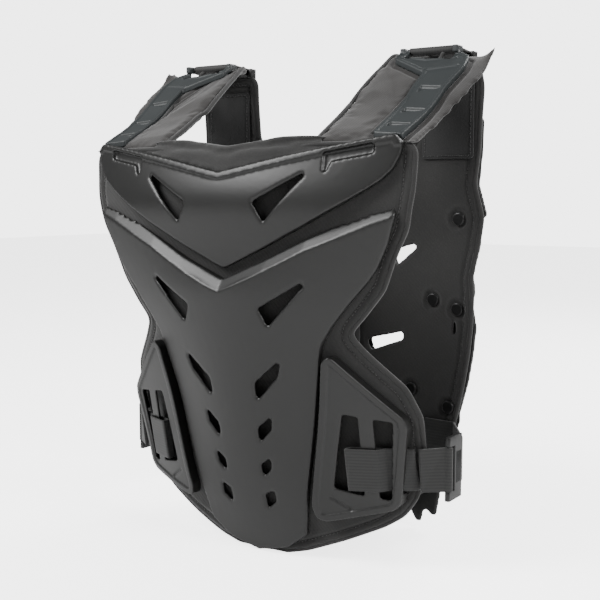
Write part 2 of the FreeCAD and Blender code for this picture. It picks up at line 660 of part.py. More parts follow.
inner_radius = LINK_BAR_RADIUS + BAR_GAP
add_pair("shoulder_link", belt(inner_radius + WEBBING).cut(belt(inner_radius)))

# ---------------------------------------------------------------- back panel

ARM_TOP = LINK_BACK_Z - 6.0
BACK_EDGE = [(0, 30), (60, 28), (96, 34), (118, 50), (136, 92), (145, 124), (153, 161), (158, 190),
             (161, 219), (162, 255), (160, 270), (169, 307), (173, 332), (164, 364), (168, 398),
             (169, 427), (171, 460)]
ARM_EDGE = [(100, 455), (97, 415), (86, 398), (50, 388), (0, 385)]
back_points = scaled(BACK_EDGE)
back_points += [(wide(166), ARM_TOP), (wide(101), ARM_TOP)]
back_points += scaled(ARM_EDGE)
back_wire = outline(both_sides(back_points), PANEL_CORNER - 1.0)
back_liner = skin(prism(back_wire), back_inner, moved(back_inner, LINER))

# Vents go through both the liner and the shells behind it.
BACK_VENTS = [
    [(66, 296), (92, 303), (96, 300), (69, 279)],
    [(34, 198), (78, 209), (79, 201), (38, 186)],
    [(50, 170), (58, 168), (60, 158), (52, 160)],
    [(140, 226), (144, 226), (144, 212), (140, 212)],
]
vent_prisms = []
for corners in BACK_VENTS:
    for side in (1, -1):
        vent_prisms.append(opening([(side * x, z) for x, z in scaled(corners)], VENT_CORNER))

SPINE_HALF = 28.0
SPINE_EDGE = [(0, 66), (SPINE_HALF - 4, 66), (SPINE_HALF, 200), (SPINE_HALF, 350), (0, 362)]
spine = skin(prism(outline(both_sides(scaled(SPINE_EDGE)), PANEL_CORNER)),
             moved(back_inner, -GAP - FOAM), moved(back_inner, -GAP))
GROOVES = 7
GROOVE_WIDTH = 4.0
FIRST_GROOVE = 100.0
GROOVE_STEP = 36.0
for i in range(GROOVES):
    z = tall(FIRST_GROOVE + i * GROOVE_STEP)
    groove = Part.makeBox(4 * SPINE_HALF, 3 * REACH, GROOVE_WIDTH, V(-2 * SPINE_HALF, -REACH, z))
    spine = spine.cut(skin(groove, moved(back_inner, -FOAM - 3.0), moved(back_inner, -FOAM / 2)))
add("back_spine_pad", spine)

PATCH_LOW = 390.0
PATCH_HIGH = 468.0
PATCH_INNER = 108.0
PATCH_WIDTH = 56.0
patch_y = INNER_DEPTH - GAP - PATCH
patch = Part.makeBox(wide(PATCH_WIDTH), PATCH, tall(PATCH_HIGH - PATCH_LOW),
                     V(wide(PATCH_INNER), patch_y, tall(PATCH_LOW)))
patch = patch.makeFillet(SHELL_CORNER, [e for e in patch.Edges if abs(e.tangentAt(0).y) > 0.9])
add_pair("hook_patch", patch)

# Four overlapping shells. The second and the last lie close to the liner, and the edges of the
# first and the third cover theirs.
LOW_LAYER = LINER + GAP
OVERLAP_ROOM = 0.8  # between two overlapping shells
HIGH_LAYER = LOW_LAYER + SHELL + OVERLAP_ROOM
UPPER_BACK = [(0, 292), (34, 306), (90, 326), (150, 318), (175, 333), (166, 364), (169, 398),
              (170, 428), (160, 438), (106, 438), (99, 414), (86, 399), (50, 389), (0, 386)]
MIDDLE_BACK = [(0, 206), (36, 222), (96, 240), (150, 226), (165, 255), (162, 272), (171, 307),
               (168, 324), (120, 342), (60, 330), (0, 312)]
LOWER_BACK = [(0, 112), (40, 132), (96, 142), (146, 126), (156, 161), (161, 190), (164, 219),
              (160, 240), (100, 254), (40, 238), (0, 224)]
TAIL_BACK = [(0, 6), (9, 24), (44, 12), (56, 30), (88, 24), (103, 0), (108, 24), (122, 13), (127, 40),
             (138, 92), (150, 122), (148, 142), (96, 158), (40, 148), (0, 132)]
SPINE_RIDGE = 16.0
RIDGE_HEIGHT = 4.0


def back_shell(edge, layer):
    """One shell, with a raised spine ridge and a rolled rim on its outer face."""
    inner = moved(back_inner, layer)
    outer = moved(back_inner, layer + SHELL)
    wire = outline(both_sides(scaled(edge)), SHELL_CORNER)
    body = skin(prism(wire), inner, outer)
    rim = skin(ring(wire, RIM_WIDTH), moved(back_inner, layer + SHELL / 2), moved(outer, RIM_HEIGHT))
    ridge_box = Part.makeBox(2 * SPINE_RIDGE, 3 * REACH, 3 * REACH, V(-SPINE_RIDGE, -REACH, -REACH))
    ridge = skin(prism(wire).common(ridge_box), moved(back_inner, layer + SHELL / 2),
                 moved(outer, RIDGE_HEIGHT if layer == HIGH_LAYER else 0.5))
    if layer == LOW_LAYER:
        return body
    return body.fuse(rim).fuse(ridge)


shells = {
    "upper_back_shell": back_shell(UPPER_BACK, HIGH_LAYER),
    "middle_back_shell": back_shell(MIDDLE_BACK, LOW_LAYER),
    "lower_back_shell": back_shell(LOWER_BACK, HIGH_LAYER),
    "tail_back_shell": back_shell(TAIL_BACK, LOW_LAYER),
}

# Rivets clamp the shells to the liner: upper outer, middle pair and lower.
UPPER_RIVETS = [(148, 330)]
MIDDLE_RIVETS = [(116, 246), (146, 238)]
LOWER_RIVETS = [(92, 150), (138, 136)]


def rivet_at(x, z):
    """One rivet from inside the liner to the outer face of the shells, and its clearance cuts."""
    seat = back_inner(x, z)
    outer_face = seat + HIGH_LAYER + SHELL + RIM_HEIGHT
    axis = V(0, 1, 0)
    shank_start = V(x, seat - 1.0, z)
    shank_length = outer_face - seat + 1.0
    shank = Part.makeCylinder(RIVET_SHANK_RADIUS, shank_length, shank_start, axis)
    head = Part.makeCylinder(RIVET_HEAD_RADIUS, RIVET_HEAD + 1.0, V(x, seat - RIVET_HEAD, z), axis)
    head = head.makeFillet(0.45 * RIVET_HEAD, [head.Edges[2]])
    washer = Part.makeCylinder(WASHER_RADIUS, WASHER, V(x, outer_face - 0.2, z), axis)
    body = shank.fuse(head).fuse(washer)
    hole = Part.makeCylinder(RIVET_SHANK_RADIUS + RIVET_GAP, shank_length + 20.0,
                             V(x, seat - 10.0, z), axis)
    inner_seat = Part.makeCylinder(RIVET_HEAD_RADIUS + RIVET_GAP, 10.0 + 1.0 + RIVET_GAP,
                                   V(x, seat - 10.0, z), axis)
    outer_seat = Part.makeCylinder(WASHER_RADIUS + RIVET_GAP, 10.0,
                                   V(x, outer_face - 0.2 - RIVET_GAP, z), axis)
    return body, [hole, inner_seat, outer_seat]


rivet_cuts = []
for name, places in (("upper_back_rivets", UPPER_RIVETS), ("middle_back_rivets", MIDDLE_RIVETS),
                     ("lower_back_rivets", LOWER_RIVETS)):
    group = []
    for x, z in scaled(places):
        body, cuts = rivet_at(x, z)
        group += [body, mirrored(body)]
        rivet_cuts += cuts + [mirrored(c) for c in cuts]
    add(name, Part.makeCompound(group))
for cut in vent_prisms + rivet_cuts:
    back_liner = back_liner.cut(cut)
for name in shells:
    shell = shells[name]
    for cut in vent_prisms + rivet_cuts:
        if shell.BoundBox.intersect(cut.BoundBox):
            shell = shell.cut(cut)
    add(name, shell)

# Shoulder anchors: a plate riveted behind each back arm, with ears that hold the link's rear bar.
EAR = 4.0
ANCHOR_PLATE = 3.0
anchor_x = wide(link_low) - LINK_SIDE_ROOM - EAR
anchor_width = SHOULDER_LINK_WIDTH + 2 * LINK_SIDE_ROOM + 2 * EAR
anchor_y = INNER_DEPTH + LINER + GAP
ANCHOR_DROP = 44.0
plate_top = ARM_TOP - 1.0
anchor = Part.makeBox(anchor_width, ANCHOR_PLATE, ANCHOR_DROP,
                      V(anchor_x, anchor_y, plate_top - ANCHOR_DROP))
for x in (anchor_x, anchor_x + anchor_width - EAR):
    ear_start = LINK_BACK_Y - 4.5
    ear = Part.makeBox(EAR, anchor_y + ANCHOR_PLATE - ear_start, LINK_BACK_Z + 4.5 - ARM_TOP - GAP,
                       V(x, ear_start, ARM_TOP + GAP))
    riser = Part.makeBox(EAR, ANCHOR_PLATE, 12.0, V(x, anchor_y, plate_top - 8.0))
    anchor = anchor.fuse(ear).fuse(riser)
anchor = anchor.fuse(Part.makeCylinder(LINK_BAR_RADIUS, anchor_width,
                                       V(anchor_x, LINK_BACK_Y, LINK_BACK_Z), V(1, 0, 0)))
add_pair("shoulder_anchor", anchor)

# Side tabs: webbing from under the tail shell to a catch bar beside the buckle.
catch_x = BUCKLE_X - BUCKLE_THICKNESS / 2 - LIP + CATCH_RADIUS + 2 * GAP
tab_start_x = wide(112.0)
tab_edge_x = wide(146.0)
tab_y = back_inner(tab_edge_x, middle_z) - WEBBING / 2 - GAP - 0.4
tab_path = [(tab_start_x, back_inner(tab_start_x, middle_z) - WEBBING / 2 - GAP - 0.2),
            (tab_edge_x, tab_y),
            (catch_x - 6.0, catch_y + 22.0),
            (catch_x, catch_y + CATCH_RADIUS)]
tab = ribbon(tab_path, WEBBING, STRAP_LOW, STRAP_HIGH)
catch_bar = Part.makeCylinder(CATCH_RADIUS, SIDE_STRAP_WIDTH, V(catch_x, catch_y, STRAP_LOW))
add_pair("side_tab", tab.fuse(catch_bar))

add("front_liner", liner)
add("back_liner", back_liner)

# ---------------------------------------------------------------- place and write

every = Part.makeCompound(list(pieces.values()))
extent = every.optimalBoundingBox(False, False)
home = V(0, -(extent.YMin + extent.YMax) / 2, -extent.ZMin)
for name in sorted(pieces):
    shape = pieces[name].copy()
    shape.translate(home)
    if len(shape.Solids) == 0 or not shape.isValid():
        print("check", name, len(shape.Solids), shape.isValid())
    shape.exportStep("parts/" + name + ".step")
    print(name, "solids", len(shape.Solids), "volume", round(shape.Volume))
print("moved by", round(home.y, 3), round(home.z, 3))
print("box", [round(v, 2) for v in (extent.XLength, extent.YLength, extent.ZLength)])
print("shoulder hinge", round(LINK_BACK_Y + home.y, 3), round(LINK_BACK_Z + home.z, 3))
print("strap hinge", round(SWING_X, 3), round(SWING_Y + home.y, 3))
print("buckle hinge", round(BUCKLE_X, 3), round(BUCKLE_Y + home.y, 3))
print("strap z", round(STRAP_LOW + home.z, 3), round(STRAP_HIGH + home.z, 3))
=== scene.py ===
# %% [markdown]
# # A chest protector, one piece at a time
# The vest is a front and a back armour panel. Moulded black shells are fixed to padded fabric,
# the two panels meet over the shoulders, and webbing straps with buckles close the sides.
# The frame that is loaded first holds every part at its real place and size, in metres, and each
# step below either gives a part a better surface or stands a more detailed piece in its place.

# %% Load the frame and keep its box
import json
import math

import bmesh
import bpy
import numpy as np
from mathutils import Matrix, Vector, noise
from mathutils.kdtree import KDTree


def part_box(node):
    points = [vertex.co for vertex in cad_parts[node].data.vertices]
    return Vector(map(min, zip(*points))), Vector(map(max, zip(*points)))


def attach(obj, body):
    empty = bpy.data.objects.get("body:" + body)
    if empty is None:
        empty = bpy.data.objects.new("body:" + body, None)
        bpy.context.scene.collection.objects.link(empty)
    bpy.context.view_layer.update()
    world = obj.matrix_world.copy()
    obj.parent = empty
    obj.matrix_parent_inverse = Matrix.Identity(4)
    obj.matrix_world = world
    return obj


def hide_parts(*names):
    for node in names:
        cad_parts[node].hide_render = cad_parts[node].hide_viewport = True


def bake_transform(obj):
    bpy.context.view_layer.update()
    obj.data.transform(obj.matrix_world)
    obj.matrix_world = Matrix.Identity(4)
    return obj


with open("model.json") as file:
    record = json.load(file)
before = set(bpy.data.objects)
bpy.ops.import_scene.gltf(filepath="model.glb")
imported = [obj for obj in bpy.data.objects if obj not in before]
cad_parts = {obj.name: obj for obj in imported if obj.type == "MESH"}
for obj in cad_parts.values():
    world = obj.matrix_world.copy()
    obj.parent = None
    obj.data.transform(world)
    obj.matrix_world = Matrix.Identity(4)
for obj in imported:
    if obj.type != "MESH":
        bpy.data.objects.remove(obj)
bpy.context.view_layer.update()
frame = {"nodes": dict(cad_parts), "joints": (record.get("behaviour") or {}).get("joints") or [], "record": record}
nodes = frame["nodes"]
body_of_node = {}
for body, members in frame["record"]["behaviour"]["bodies"].items():
    for member in members:
        body_of_node[member] = body
slot_of_node = {row["node"]: row["material_slot"] for row in frame["record"]["subparts"]}
SIDES = {"left": 1, "right": -1}
MM = 0.001

# %% [markdown]
# ## The camera and the light
# The camera stands a little to the wearer's left of the front and just above the waist, far
# enough away to keep the shoulders and the hem in proportion. The light is a studio tent: one
# large panel high on the left, a weaker one on the right and a bright surround, because black
# plastic shows its shape only through what it reflects.

# %% Camera
LENS_MM = 62.06
SENSOR_MM = 36.0
LOOKS_DOWN_DEG = 5.85
TURNED_DEG = 33.0  # from straight ahead, towards the wearer's left
scene = bpy.context.scene
camera_data = bpy.data.cameras.new("camera")
camera_data.lens = LENS_MM
camera_data.sensor_width = SENSOR_MM
camera_data.clip_end = 20.0
camera = bpy.data.objects.new("camera", camera_data)
scene.collection.objects.link(camera)
camera.location = (0.5821, -0.8752, 0.3549)
camera.rotation_euler = (math.radians(90.0 - LOOKS_DOWN_DEG), 0.0, math.radians(TURNED_DEG))
scene.camera = camera
print("camera at", tuple(camera.location))

# %% [markdown]
# ## Colours and nodes
# Every finish below is a small network of nodes in the object's own coordinates, so it stays on
# its piece in every pose. One helper adds a node and links it, which keeps each finish short.

# %% Colours and the one node helper


def paint(code):
    """A linear colour from an sRGB hex code."""
    channels = [int(code[i : i + 2], 16) / 255.0 for i in (1, 3, 5)]
    linear = [c / 12.92 if c <= 0.04045 else ((c + 0.055) / 1.055) ** 2.4 for c in channels]
    return (*linear, 1.0)


def add_node(material, kind, settings=None, links=None):
    """Adds a node; settings are its properties, links its inputs, each a value or a socket."""
    tree = material.node_tree
    node = tree.nodes.new(kind)
    for key, value in (settings or {}).items():
        setattr(node, key, value)
    for key, value in (links or {}).items():
        if isinstance(value, bpy.types.NodeSocket):
            tree.links.new(value, node.inputs[key])
        else:
            node.inputs[key].default_value = value
    return node


def blank(name):
    """An empty node material with its output and its Object coordinates ready."""
    material = bpy.data.materials.new(name)
    material.use_nodes = True
    material.node_tree.nodes.clear()
    place = add_node(material, "ShaderNodeTexCoord").outputs["Object"]
    return material, place


def finish_material(material, shader):
    add_node(material, "ShaderNodeOutputMaterial", links={"Surface": shader.outputs["BSDF"]})
    return material


# %% [markdown]
# ## The finishes
# Everything is black, so the finishes differ in gloss and in texture, not in colour. The shells
# are moulded polyethylene: satin, with a faint spark-eroded grain. The inserts are soft rubber,
# a shade lighter and cooler. The panels are knitted polyester, the inside is spacer mesh, and
# the straps are ribbed elastic webbing.

# %% Moulded shells


def moulded_polyethylene():
    """Injection-moulded polyethylene: satin, slightly waxy, with a fine grain off the mould."""
    material, place = blank("moulded_polyethylene")
    cloud = add_node(material, "ShaderNodeTexNoise", links={"Vector": place, "Scale": 14.0, "Detail": 3.0})
    tone = add_node(material, "ShaderNodeValToRGB", links={"Fac": cloud.outputs["Fac"]})
    tone.color_ramp.elements[0].position = 0.3
    tone.color_ramp.elements[0].color = paint("#0f0f0e")
    tone.color_ramp.elements[1].position = 0.75
    tone.color_ramp.elements[1].color = paint("#141413")
    rough = add_node(material, "ShaderNodeMapRange",
                     links={"Value": cloud.outputs["Fac"], "To Min": 0.40, "To Max": 0.47})
    # The grain of the mould is about 0.3 mm; it is drawn at 0.6 mm so that it shows.
    grain = add_node(material, "ShaderNodeTexNoise",
                     links={"Vector": place, "Scale": 1.0 / (0.6 * MM), "Detail": 1.0})
    relief = add_node(material, "ShaderNodeBump", links={"Strength": 0.10, "Distance": 0.02 * MM,
                                                        "Height": grain.outputs["Fac"]})
    shader = add_node(material, "ShaderNodeBsdfPrincipled",
                      links={"Base Color": tone.outputs["Color"], "Roughness": rough.outputs["Result"],
                             "IOR": 1.51, "Normal": relief.outputs["Normal"]})
    return finish_material(material, shader)


shell_finish = moulded_polyethylene()
print("made", shell_finish.name)

# %% [markdown]
# The inserts are moulded rubber and the buckles, anchors and rivets are moulded acetal. Rubber
# is dull and cool in tone, and acetal is harder and catches a smaller, brighter highlight.

# %% Rubber and hard plastic


def moulded_rubber():
    """Soft moulded rubber: cooler and duller than the shells, with a dry bloom."""
    material, place = blank("moulded_rubber")
    cloud = add_node(material, "ShaderNodeTexNoise", links={"Vector": place, "Scale": 30.0, "Detail": 4.0})
    tone = add_node(material, "ShaderNodeValToRGB", links={"Fac": cloud.outputs["Fac"]})
    tone.color_ramp.elements[0].color = paint("#1f2324")
    tone.color_ramp.elements[1].color = paint("#282d2e")
    grain = add_node(material, "ShaderNodeTexNoise",
                     links={"Vector": place, "Scale": 1.0 / (0.8 * MM), "Detail": 2.0})
    relief = add_node(material, "ShaderNodeBump", links={"Strength": 0.15, "Distance": 0.03 * MM,
                                                        "Height": grain.outputs["Fac"]})
    shader = add_node(material, "ShaderNodeBsdfPrincipled",
                      links={"Base Color": tone.outputs["Color"], "Roughness": 0.5, "IOR": 1.52,
                             "Normal": relief.outputs["Normal"]})
    return finish_material(material, shader)


def acetal():
    """Moulded acetal, as in buckles: hard, smooth and a little glossier than the shells."""
    material, place = blank("acetal")
    cloud = add_node(material, "ShaderNodeTexNoise", links={"Vector": place, "Scale": 60.0})
    rough = add_node(material, "ShaderNodeMapRange",
                     links={"Value": cloud.outputs["Fac"], "To Min": 0.32, "To Max": 0.40})
    shader = add_node(material, "ShaderNodeBsdfPrincipled",
                      links={"Base Color": paint("#111111"), "Roughness": rough.outputs["Result"],
                             "IOR": 1.48})
    return finish_material(material, shader)


rubber_finish = moulded_rubber()
hardware_finish = acetal()
print("made", rubber_finish.name, "and", hardware_finish.name)

# %% [markdown]
# All the fabrics are one recipe with other colours and stitch sizes: rows of small loops give
# the relief, and a soft sheen takes the place of gloss. The webbing has ribs along its length.

# %% Fabrics


def knitted_polyester(name, dark, light, stitch_mm):
    """Knitted polyester over foam: rows of small loops, a soft sheen and no gloss."""
    material, place = blank(name)
    rows = add_node(material, "ShaderNodeTexWave", {"wave_type": "BANDS", "bands_direction": "DIAGONAL"},
                    {"Vector": place, "Scale": 0.314 / (stitch_mm * MM) / 1.7, "Distortion": 0.6,
                     "Detail": 1.0, "Detail Scale": 2.0})
    loops = add_node(material, "ShaderNodeTexVoronoi",
                     links={"Vector": place, "Scale": 1.0 / (stitch_mm * MM)})
    height = add_node(material, "ShaderNodeMath", {"operation": "ADD"},
                      {0: rows.outputs["Fac"], 1: loops.outputs["Distance"]})
    cloud = add_node(material, "ShaderNodeTexNoise", links={"Vector": place, "Scale": 25.0, "Detail": 5.0})
    mix = add_node(material, "ShaderNodeMath", {"operation": "MULTIPLY"},
                   {0: cloud.outputs["Fac"], 1: loops.outputs["Distance"]})
    tone = add_node(material, "ShaderNodeValToRGB", links={"Fac": mix.outputs["Value"]})
    tone.color_ramp.elements[0].position = 0.05
    tone.color_ramp.elements[0].color = paint(dark)
    tone.color_ramp.elements[1].position = 0.45
    tone.color_ramp.elements[1].color = paint(light)
    relief = add_node(material, "ShaderNodeBump", links={"Strength": 0.35, "Distance": 0.15 * MM,
                                                        "Height": height.outputs["Value"]})
    shader = add_node(material, "ShaderNodeBsdfPrincipled",
                      links={"Base Color": tone.outputs["Color"], "Roughness": 0.85,
                             "Sheen Weight": 0.25, "Sheen Roughness": 0.5,
                             "Normal": relief.outputs["Normal"]})
    return finish_material(material, shader)


liner_finish = knitted_polyester("knitted_polyester", "#0f0f0e", "#1b1a19", 1.3)
binding_finish = knitted_polyester("folded_tape", "#121212", "#201f1e", 0.8)
panel_finish = knitted_polyester("brushed_polyester", "#141211", "#211e1c", 0.9)
mesh_finish = knitted_polyester("spacer_mesh", "#0a0a0a", "#1a1a19", 2.4)
pile_finish = knitted_polyester("loop_pile", "#0c0c0c", "#171717", 0.8)


def ribbed_webbing(name, across):
    """Elastic webbing: fine ribs along its length, which is across the given axis, X or Z."""
    material, place = blank(name)
    ribs = add_node(material, "ShaderNodeTexWave", {"wave_type": "BANDS", "bands_direction": across},
                    {"Vector": place, "Scale": 0.314 / (1.5 * MM) / 2.0, "Distortion": 0.2})
    tone = add_node(material, "ShaderNodeValToRGB", links={"Fac": ribs.outputs["Fac"]})
    tone.color_ramp.elements[0].color = paint("#111111")
    tone.color_ramp.elements[1].color = paint("#1d1d1c")
    relief = add_node(material, "ShaderNodeBump", links={"Strength": 0.25, "Distance": 0.15 * MM,
                                                        "Height": ribs.outputs["Fac"]})
    shader = add_node(material, "ShaderNodeBsdfPrincipled",
                      links={"Base Color": tone.outputs["Color"], "Roughness": 0.7,
                             "Sheen Weight": 0.15, "Normal": relief.outputs["Normal"]})
    return finish_material(material, shader)


thread_finish = knitted_polyester("polyester_thread", "#1c1c1c", "#2c2b2a", 0.5)
webbing_finish = ribbed_webbing("elastic_webbing", "Z")
link_finish = ribbed_webbing("polyester_webbing", "X")
print("made the fabrics and the webbing")

FINISH = {
    "armour_shell": shell_finish,
    "insert_rubber": rubber_finish,
    "hardware_plastic": hardware_finish,
    "webbing": webbing_finish,
    "liner_fabric": liner_finish,
    "mesh_lining": mesh_finish,
    "hook_and_loop": pile_finish,
    "rivets": hardware_finish,
}

# %% [markdown]
# ## Making pieces from parts
# A part from the frame has the right size and hard edges. These helpers copy it, round it, fill
# it, sew along it and give it its finish. A copy is used because the parts themselves never move.

# %% Helpers that turn a part into a finished piece


def link(piece):
    scene.collection.objects.link(piece)
    return piece


def merged_copy(name, *node_names):
    """A copy of one or more parts' meshes as one mesh, with their loose triangles joined."""
    mesh = bpy.data.meshes.new(name)
    bm = bmesh.new()
    for node_name in node_names:
        bm.from_mesh(nodes[node_name].data)
    bmesh.ops.remove_doubles(bm, verts=bm.verts, dist=0.002 * MM)
    bm.to_mesh(mesh)
    bm.free()
    return link(bpy.data.objects.new(name, mesh))


def bake_modifiers(piece):
    """Replaces a piece's mesh with what its modifiers make of it."""
    bpy.context.view_layer.update()
    depsgraph = bpy.context.evaluated_depsgraph_get()
    made = bpy.data.meshes.new_from_object(piece.evaluated_get(depsgraph))
    made.name = piece.name
    old = piece.data
    piece.modifiers.clear()
    piece.data = made
    bpy.data.meshes.remove(old)
    return piece


def round_off(piece, grain_mm, passes, factor=0.5):
    """Rounds every edge a little, as a mould does: a fine even mesh, then some smoothing passes."""
    remesh = piece.modifiers.new("even_mesh", "REMESH")
    remesh.mode = "VOXEL"
    remesh.voxel_size = grain_mm * MM
    remesh.use_smooth_shade = True
    soften = piece.modifiers.new("soften", "SMOOTH")
    soften.factor = factor
    soften.iterations = passes
    return bake_modifiers(piece)


def bevelled(piece, width_mm, segments=2):
    """Takes the sharpness off the edges of a part whose faces are mostly flat."""
    bevel = piece.modifiers.new("bevel", "BEVEL")
    bevel.width = width_mm * MM
    bevel.segments = segments
    bevel.limit_method = "ANGLE"
    bevel.angle_limit = math.radians(40.0)
    bevel.use_clamp_overlap = True
    bevel.harden_normals = False
    return bake_modifiers(piece)


def dress(piece, node_names, finish, smooth=True):
    """Gives a piece its material and its body, and hides the parts it stands for."""
    piece.data.materials.clear()
    piece.data.materials.append(finish)
    piece.data.polygons.foreach_set("use_smooth", [smooth] * len(piece.data.polygons))
    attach(piece, body_of_node[node_names[0]])
    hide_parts(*node_names)
    print(piece.name, len(piece.data.polygons), "faces")
    return piece


def trim_on(piece, node_name, finish):
    """The same for trim that is added to a part without standing for it."""
    piece.data.materials.clear()
    piece.data.materials.append(finish)
    piece.data.polygons.foreach_set("use_smooth", [True] * len(piece.data.polygons))
    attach(piece, body_of_node[node_name])
    print(piece.name, len(piece.data.polygons), "faces")
    return piece


def places_of(piece):
    """The vertices and their normals, one row each, in metres."""
    count = len(piece.data.vertices)
    places = np.empty(count * 3)
    normals = np.empty(count * 3)
    piece.data.vertices.foreach_get("co", places)
    piece.data.vertices.foreach_get("normal", normals)
    return places.reshape(-1, 3), normals.reshape(-1, 3)


def put(piece, places):
    piece.data.vertices.foreach_set("co", places.reshape(-1))
    piece.data.update()


def outline_loops(node_name, least_angle=50.0):
    """The sharp outlines of a part as ordered rows of points, the longest first."""
    bm = bmesh.new()
    bm.from_mesh(nodes[node_name].data)
    bmesh.ops.remove_doubles(bm, verts=bm.verts, dist=0.002 * MM)
    neighbours = {}
    for edge in bm.edges:
        if len(edge.link_faces) == 2 and edge.calc_face_angle() > math.radians(least_angle):
            for one, two in (edge.verts, reversed(edge.verts)):
                neighbours.setdefault(one, []).append(two)
    loops = []
    left = set(neighbours)
    while left:
        at = min(left, key=lambda v: v.index)
        row = []
        while at is not None:
            left.discard(at)
            row.append(tuple(at.co))
            at = next((v for v in neighbours[at] if v in left), None)
        loops.append(np.array(row))
    bm.free()
    loops.sort(key=lambda row: -np.linalg.norm(np.diff(row, axis=0), axis=1).sum())
    return loops


def evened(row, step_mm, closed=True, soften=0):
    """The same line with points at even steps, softened a little if asked."""
    if closed:
        row = np.vstack([row, row[:1]])
    run = np.concatenate([[0.0], np.cumsum(np.linalg.norm(np.diff(row, axis=0), axis=1))])
    count = max(8, int(run[-1] / (step_mm * MM)))
    at = np.linspace(0.0, run[-1], count + 1)
    even = np.stack([np.interp(at, run, row[:, k]) for k in range(3)], axis=1)
    if closed:
        even = even[:-1]
    for _ in range(soften):
        if closed:
            even = (np.roll(even, 1, axis=0) + 2 * even + np.roll(even, -1, axis=0)) / 4
        else:
            even[1:-1] = (even[:-2] + 2 * even[1:-1] + even[2:]) / 4
    return even


def middle_line(one, two):
    """The line half way between two outlines of a panel."""
    tree = KDTree(len(two))
    for i, place in enumerate(two):
        tree.insert(place, i)
    tree.balance()
    return np.array([(np.array(tree.find(p)[0]) + p) / 2 for p in one])


def distance_to(places, line):
    """How far each place is from a row of points, in millimetres."""
    tree = KDTree(len(line))
    for i, place in enumerate(line):
        tree.insert(place, i)
    tree.balance()
    return np.array([tree.find(p)[2] for p in places]) / MM


def bump_at(distance, at, half_width):
    """A smooth bump of height 1 where the distance is at."""
    return np.exp(-(((distance - at) / half_width) ** 2))


def wrinkles(places, size_mm, seed):
    """Soft irregular folds between -1 and 1, the same on every run."""
    shift = Vector((seed * 3.1, seed * 1.7, seed * 2.3))
    return np.array([noise.noise(Vector(p) / (size_mm * MM) + shift) for p in places])


def tube(name, line, radius_mm, closed=True):
    """A round cord along a line, as piping or a bound edge."""
    curve = bpy.data.curves.new(name, "CURVE")
    curve.dimensions = "3D"
    curve.bevel_depth = radius_mm * MM
    curve.bevel_resolution = 2
    curve.use_fill_caps = True
    spline = curve.splines.new("POLY")
    spline.points.add(len(line) - 1)
    spline.points.foreach_set("co", np.hstack([line, np.ones((len(line), 1))]).reshape(-1))
    spline.use_cyclic_u = closed
    cord = link(bpy.data.objects.new(name + "_path", curve))
    bpy.context.view_layer.update()
    made = bpy.data.meshes.new_from_object(cord.evaluated_get(bpy.context.evaluated_depsgraph_get()))
    bpy.data.objects.remove(cord)
    bm = bmesh.new()
    bm.from_mesh(made)
    bmesh.ops.recalc_face_normals(bm, faces=bm.faces)
    bm.to_mesh(made)
    bm.free()
    made.name = name
    return link(bpy.data.objects.new(name, made))


def stitches(name, line, outward, step_mm=4.0, length_mm=2.6, closed=True):
    """A row of thread stitches lying on a line; outward is the way off the cloth."""
    row = evened(line, step_mm, closed)
    bm = bmesh.new()
    for i in range(len(row) - (0 if closed else 1)):
        ahead = Vector(row[(i + 1) % len(row)] - row[i]).normalized()
        across = ahead.cross(outward).normalized()
        turn = Matrix((ahead, across, ahead.cross(across))).transposed().to_4x4()
        place = Matrix.Translation(Vector(row[i]) + Vector(outward) * 0.25 * MM)
        size = Matrix.Diagonal((length_mm * MM, 0.7 * MM, 0.6 * MM, 1.0))
        bmesh.ops.create_cube(bm, size=1.0, matrix=place @ turn @ size)
    mesh = bpy.data.meshes.new(name)
    bm.to_mesh(mesh)
    bm.free()
    return link(bpy.data.objects.new(name, mesh))


def seam_line(panel, edge, inset_mm, facing):
    """The line that runs inset_mm inside a panel's edge, on the face that looks along facing."""
    places, normals = places_of(panel)
    face = places[normals @ np.array(facing) > 0.4]
    tree = KDTree(len(face))
    for i, place in enumerate(face):
        tree.insert(place, i)
    tree.balance()
    middle = edge.mean(axis=0)
    row = []
    for i, place in enumerate(edge):
        ahead = Vector(edge[(i + 3) % len(edge)] - edge[i - 3]).normalized()
        inward = ahead.cross(Vector(facing)).normalized()
        row.append((Vector(place), inward))
    votes = sum(inward.dot(Vector(middle) - place) for place, inward in row)
    way = 1.0 if votes > 0 else -1.0
    return np.array([tree.find(place + inward * way * inset_mm * MM)[0] for place, inward in row])


def centres(node_name):
    """The middle of each loose piece of a part."""
    bm = bmesh.new()
    bm.from_mesh(nodes[node_name].data)
    bmesh.ops.remove_doubles(bm, verts=bm.verts, dist=0.002 * MM)
    left = set(bm.verts)
    found = []
    while left:
        group = [left.pop()]
        for vert in group:
            for edge in vert.link_edges:
                other = edge.other_vert(vert)
                if other in left:
                    left.discard(other)
                    group.append(other)
        found.append(np.mean([tuple(v.co) for v in group], axis=0))
    bm.free()
    return found


